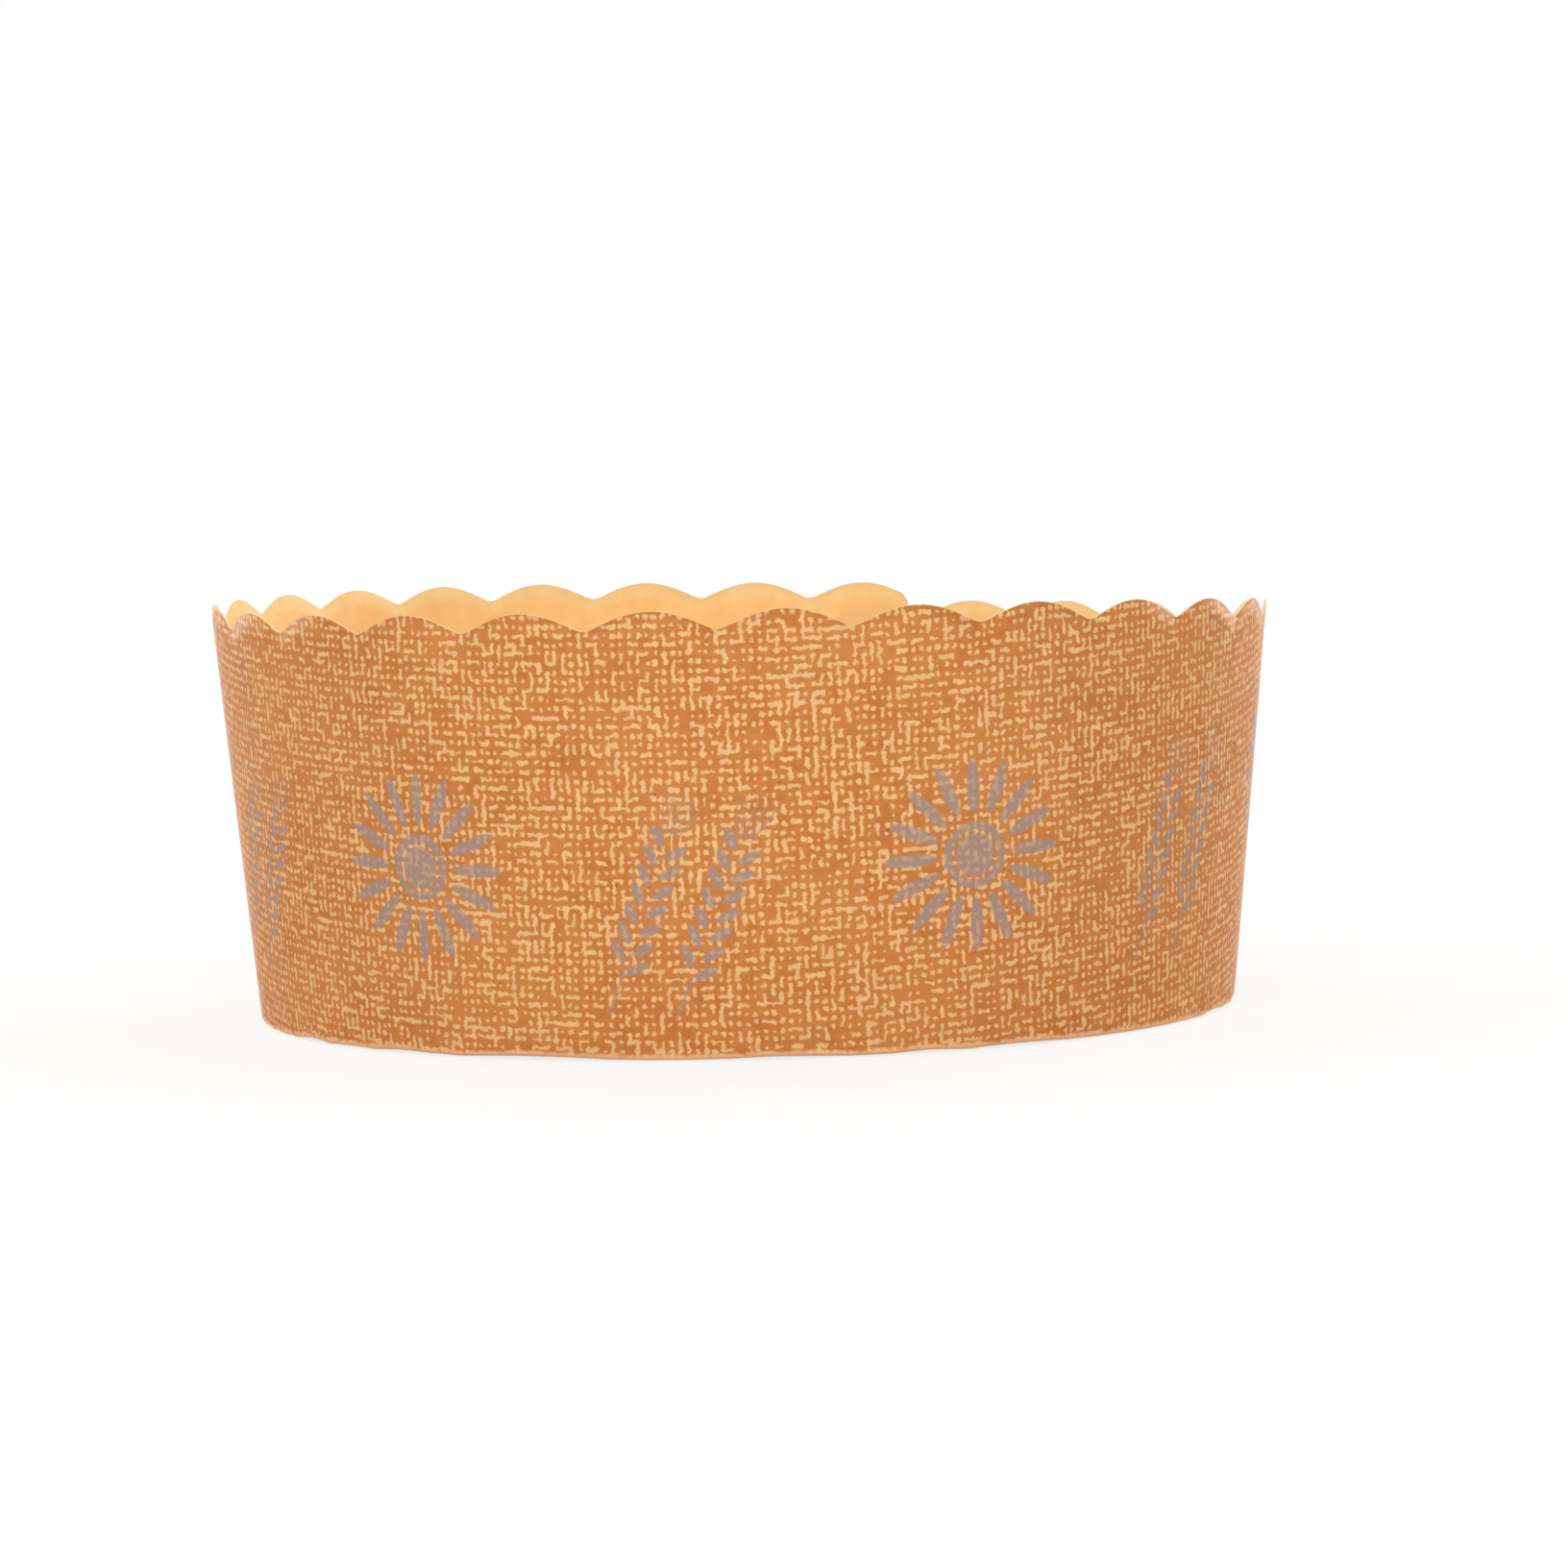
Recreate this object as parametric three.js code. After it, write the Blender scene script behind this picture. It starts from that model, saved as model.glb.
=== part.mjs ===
// Round paper baking cup: a printed paper wall wrapped into a shallow cone, lapped at the back,
// with a scalloped rim and a pleated hem turned in under a plain paper bottom.
// Units are millimetres, +Z is up, and the front of the cup faces -Y.
// The origin is on the axis of the cup, in the plane that it stands on.

import * as THREE from 'three';

// The wall's cone, measured on its outer face.
const rimRadius = 71.5;
const baseRadius = 66.1;
const crestHeight = 55.3;
const paperThickness = 0.25;

// The scallops cut along the rim.
const scallopPitch = 16.61;
const scallopDepth = 2.33;
const notchSoftness = 0.12;
const frontNotchPosition = -2.8;

// The lap: the sheet starts inside at the back and ends behind its own start.
const sheetStartPosition = -250.7;
const startCornerRadius = 1.3;
const lapLength = 11;
const lapGap = 0.12;
const lapRamp = 8;
const lapMargin = 1;

// The rim isn't level: it climbs along the sheet, tips to one side and waves a little.
const rimClimb = 2.69;
const rimTip = 0.48;
const rimWave = 0.64;
const rimWaveTurn = THREE.MathUtils.degToRad(38);

// The fold at the bottom, and the hem turned in under the cup.
const foldRadius = 0.8;
const hemWidth = 12;
const hemFlatWidth = 3;
const pleatHeight = 0.45;

// The loose bottom, which lies on the hem.
const bottomThickness = 0.4;
const bottomEdgeClearance = 0.5;
const bottomRestGap = 0.3;

// How finely the sheet is divided.
const columnsPerScallop = 6;
const wallRows = 4;
const foldRows = 3;
const bottomSides = 120;

// Sizes that follow from the ones above.
const wallLean = Math.atan((rimRadius - baseRadius) / crestHeight);
const rimLength = 2 * Math.PI * rimRadius;
const sheetEndPosition = sheetStartPosition + rimLength + lapLength;
const lapOffset = paperThickness + lapGap;
const foldHeight = foldRadius * (1 - Math.sin(wallLean));
const foldCentreRadius = baseRadius + foldHeight * Math.tan(wallLean) - foldRadius * Math.cos(wallLean);
const hemInnerRadius = baseRadius - hemWidth;

const clampToUnit = (value) => THREE.MathUtils.clamp(value, 0, 1);

// How far the rim's cut lies below the scallops' crests, at a distance along the rim.
// It is a softened |cos| wave: round at the crest and nearly pointed at the notch.
function scallopDrop(position) {
  const phase = (position - frontNotchPosition) / scallopPitch - 0.5;
  const arch = Math.hypot(Math.cos(Math.PI * phase), notchSoftness) - notchSoftness;
  const fullArch = Math.hypot(1, notchSoftness) - notchSoftness;
  return scallopDepth * (1 - arch / fullArch);
}

// The sheet's first corner is rounded off, so its cut falls away along a quarter circle.
function startCornerDrop(position) {
  const toEdge = Math.max(startCornerRadius - (position - sheetStartPosition), 0);
  return startCornerRadius - Math.sqrt(startCornerRadius ** 2 - Math.min(toEdge, startCornerRadius) ** 2);
}

// Height of the rim's cut edge at a distance along the rim.
function rimHeight(position) {
  const angle = position / rimRadius;
  const climb = rimClimb * (0.5 - (position - sheetStartPosition) / rimLength);
  const tip = -rimTip * Math.sin(angle);
  const wave = rimWave * Math.cos(2 * (angle - rimWaveTurn));
  const cut = scallopDrop(position) + startCornerDrop(position);
  return crestHeight + climb + tip + wave - cut;
}

// How far the sheet is set inwards: by a full layer where its own end lies behind it.
function layerInset(position) {
  const past = position - (sheetStartPosition + lapLength + lapMargin);
  return lapOffset * clampToUnit(1 - past / lapRamp);
}

// 1 where the hem is a single layer and free to pleat, 0 where two layers of it lie together.
function pleatFreedom(position) {
  const past = position - (sheetStartPosition + lapLength + lapMargin);
  const before = sheetStartPosition + rimLength - lapMargin - position;
  return clampToUnit(past / lapRamp) * clampToUnit(before / lapRamp);
}

// One station of the sheet's section: its outer point and its outward normal in the (radius, height) plane.
function station(radius, height, normalAngle) {
  return { radius, height, normalRadius: Math.cos(normalAngle), normalHeight: Math.sin(normalAngle) };
}

// The section from the rim down the cone, round the fold and in along the hem.
function sheetSection(position, pleatRise) {
  const stations = [];
  const top = rimHeight(position);
  for (let row = 0; row < wallRows; row += 1) {
    const height = THREE.MathUtils.lerp(top, foldHeight, row / wallRows);
    stations.push(station(baseRadius + height * Math.tan(wallLean), height, -wallLean));
  }
  for (let row = 0; row <= foldRows; row += 1) {
    const angle = THREE.MathUtils.lerp(-wallLean, -Math.PI / 2, row / foldRows);
    const radius = foldCentreRadius + foldRadius * Math.cos(angle);
    stations.push(station(radius, foldRadius * (1 + Math.sin(angle)), angle));
  }
  stations.push(station(foldCentreRadius - hemFlatWidth, 0, -Math.PI / 2));
  stations.push(station(hemInnerRadius, pleatRise, -Math.PI / 2));
  return stations;
}

// Distances along the rim at which the sheet is divided: both ends, and steps aligned with the scallops.
function columnPositions() {
  const step = scallopPitch / columnsPerScallop;
  const first = Math.ceil((sheetStartPosition - frontNotchPosition) / step + 0.25);
  const last = Math.floor((sheetEndPosition - frontNotchPosition) / step - 0.25);
  const columns = [{ position: sheetStartPosition, raised: false }];
  for (let index = first; index <= last; index += 1) {
    columns.push({ position: frontNotchPosition + index * step, raised: index % 2 !== 0 });
  }
  columns.push({ position: sheetEndPosition, raised: false });
  return columns;
}

// Place a point of the section on the cup, at a depth below the sheet's outer face.
function placePoint(position, point, depth) {
  const angle = position / rimRadius;
  const radius = point.radius - depth * point.normalRadius;
  const height = point.height - depth * point.normalHeight;
  return [radius * Math.sin(angle), -radius * Math.cos(angle), height];
}

// A closed sheet from two grids of the same size: an outer face, an inner face and their four edges.
function thickSheet(outerGrid, innerGrid) {
  const columns = outerGrid.length;
  const rows = outerGrid[0].length;
  const vertices = [...outerGrid.flat(), ...innerGrid.flat()].flat();
  const outer = (column, row) => column * rows + row;
  const inner = (column, row) => (columns + column) * rows + row;
  const indices = [];
  const quad = (a, b, c, d) => indices.push(a, b, c, a, c, d);
  for (let i = 0; i < columns - 1; i += 1) {
    for (let j = 0; j < rows - 1; j += 1) {
      quad(outer(i, j), outer(i, j + 1), outer(i + 1, j + 1), outer(i + 1, j));
      quad(inner(i, j), inner(i + 1, j), inner(i + 1, j + 1), inner(i, j + 1));
    }
    quad(outer(i, 0), outer(i + 1, 0), inner(i + 1, 0), inner(i, 0));
    const last = rows - 1;
    quad(outer(i, last), inner(i, last), inner(i + 1, last), outer(i + 1, last));
  }
  const end = columns - 1;
  for (let j = 0; j < rows - 1; j += 1) {
    quad(outer(0, j), inner(0, j), inner(0, j + 1), outer(0, j + 1));
    quad(outer(end, j), outer(end, j + 1), inner(end, j + 1), inner(end, j));
  }
  const geometry = new THREE.BufferGeometry();
  geometry.setAttribute('position', new THREE.Float32BufferAttribute(vertices, 3));
  geometry.setIndex(indices);
  geometry.computeVertexNormals();
  return geometry;
}

function makeWall() {
  const outerGrid = [];
  const innerGrid = [];
  for (const { position, raised } of columnPositions()) {
    const pleatRise = raised ? pleatHeight * pleatFreedom(position) : 0;
    const section = sheetSection(position, pleatRise);
    const inset = layerInset(position);
    outerGrid.push(section.map((point) => placePoint(position, point, inset)));
    innerGrid.push(section.map((point) => placePoint(position, point, inset + paperThickness)));
  }
  const printedPaper = new THREE.MeshStandardMaterial({ color: 0xcc8850, roughness: 0.75, metalness: 0 });
  const wall = new THREE.Mesh(thickSheet(outerGrid, innerGrid), printedPaper);
  wall.name = 'wall';
  return wall;
}

function makeBottom() {
  const radius = baseRadius - lapOffset - paperThickness - bottomEdgeClearance;
  const hemTop = paperThickness + Math.max(pleatHeight, lapOffset);
  const geometry = new THREE.CylinderGeometry(radius, radius, bottomThickness, bottomSides);
  const plainPaper = new THREE.MeshStandardMaterial({ color: 0xf2c285, roughness: 0.8, metalness: 0 });
  const bottom = new THREE.Mesh(geometry, plainPaper);
  bottom.name = 'base_disc';
  bottom.rotation.x = Math.PI / 2;
  bottom.position.z = hemTop + bottomRestGap + bottomThickness / 2;
  return bottom;
}

const bakingCup = new THREE.Group();
bakingCup.add(makeWall(), makeBottom());

export default bakingCup;
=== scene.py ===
"""Round paper baking cup: printed lapped wall, scalloped rim, pleated hem and plain paper bottom."""
import math

import bpy
import numpy as np
from mathutils import Matrix, Vector


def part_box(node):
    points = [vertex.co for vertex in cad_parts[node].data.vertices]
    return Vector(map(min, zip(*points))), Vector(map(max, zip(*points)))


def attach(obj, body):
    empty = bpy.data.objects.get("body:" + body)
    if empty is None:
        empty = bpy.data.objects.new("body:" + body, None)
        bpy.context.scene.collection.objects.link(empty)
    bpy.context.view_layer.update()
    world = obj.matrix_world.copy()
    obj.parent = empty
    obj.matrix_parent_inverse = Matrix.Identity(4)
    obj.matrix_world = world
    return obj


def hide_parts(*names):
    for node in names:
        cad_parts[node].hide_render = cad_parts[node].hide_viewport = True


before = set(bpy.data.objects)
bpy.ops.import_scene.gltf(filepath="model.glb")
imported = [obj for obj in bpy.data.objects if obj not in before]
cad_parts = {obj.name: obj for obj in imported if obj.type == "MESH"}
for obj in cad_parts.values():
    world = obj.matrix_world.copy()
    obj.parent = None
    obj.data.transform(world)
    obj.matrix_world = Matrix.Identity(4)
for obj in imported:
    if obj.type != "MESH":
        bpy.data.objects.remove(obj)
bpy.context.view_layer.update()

bl_info = {
    "name": "Round Paper Baking Cup",
    "version": (1, 0, 0),
    "blender": (4, 5, 0),
    "location": "View3D > Sidebar > Baking Cup",
    "description": "Makes a scalloped paper baking cup with its print, its bottom and a pale studio",
    "category": "Add Mesh",
}

MM = 0.001
WALL_LOW, WALL_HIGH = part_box("wall")
BOTTOM_LOW, BOTTOM_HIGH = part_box("base_disc")
IMAGE_WIDTH = 1632
SENSOR_WIDTH = 36.0


# Settings

def length(name, description, millimetres):
    """A size in metres, given here in millimetres."""
    return bpy.props.FloatProperty(name=name, description=description, default=millimetres * MM,
                                   unit="LENGTH", precision=5)


def angle(name, description, degrees):
    """An angle, given here in degrees."""
    return bpy.props.FloatProperty(name=name, description=description,
                                   default=math.radians(degrees), subtype="ANGLE")


def share(name, description, value):
    """A plain number."""
    return bpy.props.FloatProperty(name=name, description=description, default=value, precision=4)


def linear(red, green, blue):
    """Linear colour of an 8-bit display colour."""
    values = np.array([red, green, blue]) / 255.0
    return tuple(np.where(values <= 0.04045, values / 12.92, ((values + 0.055) / 1.055) ** 2.4))


def colour(name, description, red, green, blue):
    """A colour, given here as an 8-bit display colour."""
    return bpy.props.FloatVectorProperty(name=name, description=description, size=3, subtype="COLOR",
                                         min=0.0, max=1.0, default=linear(red, green, blue))


class CupShape(bpy.types.PropertyGroup):
    """Sizes of the cup, the same as those of the solids in the frame."""
    rim_radius: length("Rim radius", "Outer radius of the cone at the crests' height", 71.5)
    base_radius: length("Base radius", "Outer radius of the cone carried down to the ground", 66.1)
    crest_height: length("Crest height", "Mean height of the scallops' crests", 55.3)
    paper: length("Paper", "Thickness of the wall's paper", 0.25)
    scallop_pitch: length("Scallop pitch", "Distance between notches along the rim", 16.61)
    scallop_depth: length("Scallop depth", "Height of a crest above a notch", 2.33)
    notch_softness: share("Notch softness", "0 is a sharp notch, and more is rounder", 0.12)
    front_notch: length("Front notch", "Place along the rim of the notch nearest the front", -2.8)
    sheet_start: length("Sheet start", "Place along the rim where the sheet starts", -250.7)
    start_corner: length("Start corner", "Radius of the sheet's rounded first corner", 1.3)
    lap: length("Lap", "How far the sheet's end lies behind its start", 11.0)
    lap_gap: length("Lap gap", "Air between the two layers of the lap", 0.12)
    lap_ramp: length("Lap ramp", "Length in which the sheet steps over its own thickness", 8.0)
    lap_margin: length("Lap margin", "Flat length past the lap before the step starts", 1.0)
    rim_climb: length("Rim climb", "How much the rim drops from one end of the sheet to the other", 2.69)
    rim_tip: length("Rim tip", "How much the rim tips to the side", 0.48)
    rim_wave: length("Rim wave", "Height of the rim's slow wave", 0.64)
    rim_wave_turn: angle("Rim wave turn", "Where the slow wave is highest", 38)
    fold_radius: length("Fold radius", "Outer radius of the bottom fold", 0.8)
    hem_width: length("Hem width", "Width of the paper turned in under the cup", 12.0)
    hem_flat: length("Hem flat", "Width of the hem's flat ring before its pleats", 3.0)
    pleat_height: length("Pleat height", "Rise of the pleats at the hem's inner edge", 0.45)
    pleats_per_scallop: bpy.props.IntProperty(name="Pleats per scallop", default=3,
                                              description="How many hem pleats lie under one scallop")
    pleat_pull: length("Pleat pull", "How far the pleats draw in the bottom edge", 0.15)
    edge_lift: length("Edge lift", "How far the bottom edge rises off the ground in places", 0.4)
    lift_fade: length("Lift fade", "Length up the wall in which that rise fades out", 8.0)
    lift_inward: length("Lift inward", "Width of the hem in which that rise fades out", 4.0)
    cockle: length("Cockle", "Height of the paper's slight unevenness", 0.12)
    columns_per_scallop: bpy.props.IntProperty(name="Columns per scallop", default=28,
                                               description="Mesh steps along one scallop")
    bottom_bulge: length("Bottom bulge", "Unevenness of the loose bottom", 0.08)


class CupPrint(bpy.types.PropertyGroup):
    """Colours of the paper and sizes of its print."""
    ink: colour("Ink", "Printed ground", 195, 123, 64)
    deep_ink: colour("Deep ink", "Darker threads of the printed ground", 184, 110, 56)
    pale_ink: colour("Pale ink", "Lighter threads of the printed ground", 204, 134, 74)
    fleck: colour("Fleck", "Bare flecks between the printed threads", 233, 186, 129)
    motif: colour("Motif", "Overprinted ornaments", 160, 138, 130)
    # Painted highlight: a pale band along the bottom fold that stands in for the floor's reflection there.
    fold_highlight: colour("Fold highlight", "Painted highlight along the bottom fold", 246, 196, 148)
    inside: colour("Inside", "Plain inner face", 249, 208, 144)
    inside_dark: colour("Inside dark", "Mottling of the inner face", 244, 200, 133)
    edge: colour("Cut edge", "Cut edge of the paper", 250, 222, 176)
    thread_across: share("Thread across", "Width of one thread cell, in millimetres", 1.06)
    thread_up: share("Thread up", "Height of one thread cell, in millimetres", 1.12)
    level_angle: angle("Level angle", "Where the print's rows run level", -11.0)
    motif_spacing: share("Motif spacing", "Distance between ornaments, in millimetres", 36.3)
    motif_start: share("Motif start", "Place of the ear nearest the front, in millimetres", 6.0)
    motif_height: share("Motif height", "Height of an ornament's middle, in millimetres", 23.2)
    motif_row: share("Motif row", "Height from one row of ornaments to the next, in millimetres", 62.0)


class CupStudio(bpy.types.PropertyGroup):
    """Camera and lights."""
    camera_distance: length("Camera distance", "From the cup's axis", 636.8)
    camera_height: length("Camera height", "Above the ground", 65.95)
    camera_yaw: share("Camera yaw", "Turn to the right, in radians", 0.00862)
    camera_pitch: share("Camera pitch", "Tilt down, in radians", 0.05633)
    camera_roll: share("Camera roll", "Roll about the view line, in radians", -0.02148)
    focal_pixels: share("Focal length", "In pixels of the photograph's width", 4868.0)
    ambient: share("Ambient", "Strength of the pale surroundings", 0.39)
    key_power: share("Key power", "Watts of the large front light", 9.7)
    left_power: share("Left power", "Watts of the light behind on the left", 8.0)
    right_power: share("Right power", "Watts of the light behind on the right", 10.0)
    top_power: share("Top power", "Watts of the light above", 2.6)


# Shape of the wall

def scallop_drop(shape, position):
    """Depth of the rim's cut below the crests: a softened |cos| wave along the rim."""
    phase = (position - shape.front_notch) / shape.scallop_pitch - 0.5
    arch = np.hypot(np.cos(np.pi * phase), shape.notch_softness) - shape.notch_softness
    full_arch = math.hypot(1.0, shape.notch_softness) - shape.notch_softness
    return shape.scallop_depth * (1.0 - arch / full_arch)


def start_corner_drop(shape, position):
    """Extra depth of the cut at the sheet's first corner, which is rounded off by a quarter circle."""
    radius = shape.start_corner
    to_edge = np.clip(radius - (position - shape.sheet_start), 0.0, radius)
    return radius - np.sqrt(radius ** 2 - to_edge ** 2)


def rim_height(shape, position):
    """Height of the cut edge: crest height, a steady drop, a side tip, a slow wave, scallops and corner."""
    turn = position / shape.rim_radius
    along = (position - shape.sheet_start) / (2.0 * math.pi * shape.rim_radius)
    climb = shape.rim_climb * (0.5 - along)
    tip = -shape.rim_tip * np.sin(turn)
    wave = shape.rim_wave * np.cos(2.0 * (turn - shape.rim_wave_turn))
    cut = scallop_drop(shape, position) + start_corner_drop(shape, position)
    return shape.crest_height + climb + tip + wave - cut


def layer_inset(shape, position):
    """Inward step of the sheet where its own end lies behind it: full, then falling to 0 along a ramp."""
    past = position - (shape.sheet_start + shape.lap + shape.lap_margin)
    return (shape.paper + shape.lap_gap) * np.clip(1.0 - past / shape.lap_ramp, 0.0, 1.0)


def pleat_freedom(shape, position):
    """1 where the hem is a single layer, 0 where two layers lie together."""
    past = position - (shape.sheet_start + shape.lap + shape.lap_margin)
    end = shape.sheet_start + 2.0 * math.pi * shape.rim_radius - shape.lap_margin
    return np.clip(past / shape.lap_ramp, 0.0, 1.0) * np.clip((end - position) / shape.lap_ramp, 0.0, 1.0)


def pleat_wave(shape, position):
    """Triangle wave along the rim, 1 on each pleat and 0 between them."""
    pitch = shape.scallop_pitch / shape.pleats_per_scallop
    phase = (position - shape.front_notch) / pitch
    return 1.0 - 2.0 * np.abs(phase - np.floor(phase) - 0.5)


def cockle_wave(turn, height_share):
    """Slight unevenness of the paper: 5, 9 and 17 waves round the cup that fade in up the wall.

    Their heights add up to the amount taken off, so the wall is only ever drawn inwards.
    """
    slow = 0.55 * np.sin(5.0 * turn + 0.7) + 0.3 * np.sin(9.0 * turn + 2.1 + 2.0 * height_share)
    quick = 0.25 * np.sin(17.0 * turn + 4.0 - 3.0 * height_share)
    return (slow + quick - 1.1) * height_share


EDGE_SEED = 7


def edge_rise(shape, position):
    """Rise of the bottom edge off the ground: random heights at even knots, straight between them."""
    around = 2.0 * math.pi * shape.rim_radius
    knots = round(around / shape.scallop_pitch * shape.pleats_per_scallop)
    heights = shape.edge_lift * np.random.default_rng(EDGE_SEED).random(knots) ** 3
    place = (position - shape.front_notch) / around * knots
    before = np.floor(place).astype(int)
    share_on = place - before
    return heights[before % knots] * (1.0 - share_on) + heights[(before + 1) % knots] * share_on


# How finely the wall is divided: round the first corner, and down its section.
CORNER_COLUMNS = 7
WALL_ROWS = 22
FOLD_ROWS = 6
HEM_FLAT_ROWS = 2
HEM_PLEAT_ROWS = 6


def column_positions(shape):
    """Distances along the rim: the rounded first corner, steps aligned with the scallops, and the end."""
    step = shape.scallop_pitch / shape.columns_per_scallop
    sweep = np.linspace(0.0, 0.5 * math.pi, CORNER_COLUMNS)
    corner = shape.sheet_start + shape.start_corner * (1.0 - np.cos(sweep))
    end = shape.sheet_start + 2.0 * math.pi * shape.rim_radius + shape.lap
    first = math.ceil((corner[-1] - shape.front_notch) / step + 0.25)
    last = math.floor((end - shape.front_notch) / step - 0.25)
    between = shape.front_notch + np.arange(first, last + 1) * step
    return np.concatenate([corner, between, [end]])


def wall_stations(shape, position):
    """The section at each column: radius, height, distance along the blank, and the outward normal.

    From the rim down the straight cone, round the fold as an arc and in along the hem.  Arrays are
    columns by rows.  The distance is the slant height from where the cone would meet the ground.
    """
    lean = math.atan((shape.rim_radius - shape.base_radius) / shape.crest_height)
    fold_height = shape.fold_radius * (1.0 - math.sin(lean))
    centre = shape.base_radius + fold_height * math.tan(lean) - shape.fold_radius * math.cos(lean)
    top = rim_height(shape, position)[:, None]
    down = np.linspace(0.0, 1.0, WALL_ROWS + 1)[None, :-1]
    wall_z = top + (fold_height - top) * down
    wall_r = shape.base_radius + wall_z * math.tan(lean)
    wall_t = wall_z / math.cos(lean)

    sweep = np.linspace(-lean, -math.pi / 2.0, FOLD_ROWS + 1)[None, :]
    fold_r = centre + shape.fold_radius * np.cos(sweep)
    fold_z = shape.fold_radius * (1.0 + np.sin(sweep))
    fold_t = fold_height / math.cos(lean) + shape.fold_radius * (sweep + lean)

    flat = np.linspace(0.0, shape.hem_flat, HEM_FLAT_ROWS + 1)[1:]
    pleat_width = shape.hem_width - shape.hem_flat + centre - shape.base_radius
    pleated = shape.hem_flat + np.linspace(0.0, pleat_width, HEM_PLEAT_ROWS + 1)[1:]
    inward = np.concatenate([flat, pleated])[None, :]
    rise = np.clip((inward - shape.hem_flat) / pleat_width, 0.0, 1.0)
    pleat = (pleat_wave(shape, position) * pleat_freedom(shape, position))[:, None]
    hem_r = centre - inward
    hem_z = shape.pleat_height * rise * pleat
    hem_t = fold_t[0, -1] - inward

    whole = np.ones_like(top)
    radius = np.concatenate([wall_r, fold_r * whole, hem_r * whole], axis=1)
    height = np.concatenate([wall_z, fold_z * whole, hem_z], axis=1)
    slant = np.concatenate([wall_t, fold_t * whole, hem_t * whole], axis=1)
    facing = np.concatenate([np.full(WALL_ROWS, -lean), sweep[0], np.full(inward.size, -math.pi / 2.0)])
    return radius, height, slant, np.cos(facing)[None, :], np.sin(facing)[None, :]


def wall_surface(shape, position, depth):
    """Points of the wall at a depth under its outer face: the section turned about the axis.

    The paper's unevenness and the pull of the pleats move the radius by a little, and the bottom edge
    rises in places by an amount that fades out up the wall and inwards along the hem.
    """
    radius, height, slant, across, up = wall_stations(shape, position)
    inset = layer_inset(shape, position)[:, None] + depth
    turn = (position / shape.rim_radius)[:, None]
    lift = np.clip(height / shape.crest_height, 0.0, 1.0)
    uneven = shape.cockle * cockle_wave(turn, lift ** 1.5)
    pull = shape.pleat_pull * (pleat_wave(shape, position) * pleat_freedom(shape, position))[:, None]
    low = np.clip(1.0 - height / (5.0 * shape.fold_radius), 0.0, 1.0) ** 2
    near_fold = radius > shape.base_radius - 2.0 * shape.fold_radius
    spoke = radius - inset * across + uneven - pull * low * near_fold
    fade_up = np.clip(1.0 - slant / shape.lift_fade, 0.0, 1.0) ** 2
    fade_in = np.clip(1.0 + slant / shape.lift_inward, 0.0, 1.0)
    rise = edge_rise(shape, position)[:, None] * np.where(slant > 0.0, fade_up, fade_in)
    z = height - inset * up + rise
    points = np.stack([spoke * np.sin(turn), -spoke * np.cos(turn), z], axis=-1)
    return points, slant


def sheet_quads(columns, rows):
    """Faces of a thick sheet: outer grid, inner grid turned over, and four strips along the edges.

    Also gives each face's kind: 0 outer, 1 inner, 2 edge.
    """
    outer = np.arange(columns * rows).reshape(columns, rows)
    inner = outer + columns * rows
    grid = [outer[:-1, :-1], outer[:-1, 1:], outer[1:, 1:], outer[1:, :-1]]
    faces = [np.stack(grid, -1).reshape(-1, 4)]
    grid = [inner[:-1, :-1], inner[1:, :-1], inner[1:, 1:], inner[:-1, 1:]]
    faces.append(np.stack(grid, -1).reshape(-1, 4))
    strips = [
        np.stack([outer[:-1, 0], outer[1:, 0], inner[1:, 0], inner[:-1, 0]], -1),
        np.stack([outer[:-1, -1], inner[:-1, -1], inner[1:, -1], outer[1:, -1]], -1),
        np.stack([outer[0, :-1], inner[0, :-1], inner[0, 1:], outer[0, 1:]], -1),
        np.stack([outer[-1, :-1], outer[-1, 1:], inner[-1, 1:], inner[-1, :-1]], -1),
    ]
    faces.append(np.concatenate(strips))
    kind = np.repeat([0, 1, 2], [len(part) for part in faces])
    return np.concatenate(faces), kind


def add_object(name, data):
    """A new object of the scene, unmoved, that shows the data."""
    made = bpy.data.objects.new(name, data)
    bpy.context.scene.collection.objects.link(made)
    return made


def add_mesh_object(name, points, faces, smooth):
    """A mesh object from an array of points, lists of corners, and each face's choice of smooth shading."""
    mesh = bpy.data.meshes.new(name)
    mesh.from_pydata(points.reshape(-1, 3).tolist(), [], faces)
    mesh.polygons.foreach_set("use_smooth", smooth)
    mesh.update()
    return add_object(name, mesh)


def add_uv_map(mesh, name, values):
    """A UV map from one pair of numbers for each corner of the faces."""
    layer = mesh.uv_layers.new(name=name)
    layer.data.foreach_set("uv", values.astype(np.float32).ravel())


def corner_values(mesh, per_vertex):
    """Spread values given for each vertex over the corners of the faces."""
    corners = np.empty(len(mesh.loops), dtype=np.int32)
    mesh.loops.foreach_get("vertex_index", corners)
    return per_vertex[corners]


def apex_distance(shape):
    """Slant distance from the cone's apex to the ground, in millimetres."""
    lean = math.atan((shape.rim_radius - shape.base_radius) / shape.crest_height)
    return shape.base_radius / math.sin(lean) / MM


def blank_coordinates(shape, look, position, slant):
    """Millimetres across and up the flat blank: the cone unrolled about its apex, so rows are straight."""
    apex = apex_distance(shape)
    reach = apex + slant / MM
    turn = (position / shape.rim_radius - look.level_angle)[:, None] * shape.base_radius / MM / apex
    return np.stack([reach * np.sin(turn), reach * np.cos(turn) - apex], axis=-1)


# The layout for baking: the printed face's strips, their share of the height, the margin round them
# and the share of its width that each strip fills.
BAKE_STRIPS = 3
BAKE_PRINT_SHARE = 0.91
BAKE_MARGIN = 0.004
BAKE_STRIP_FILL = 0.995

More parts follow.
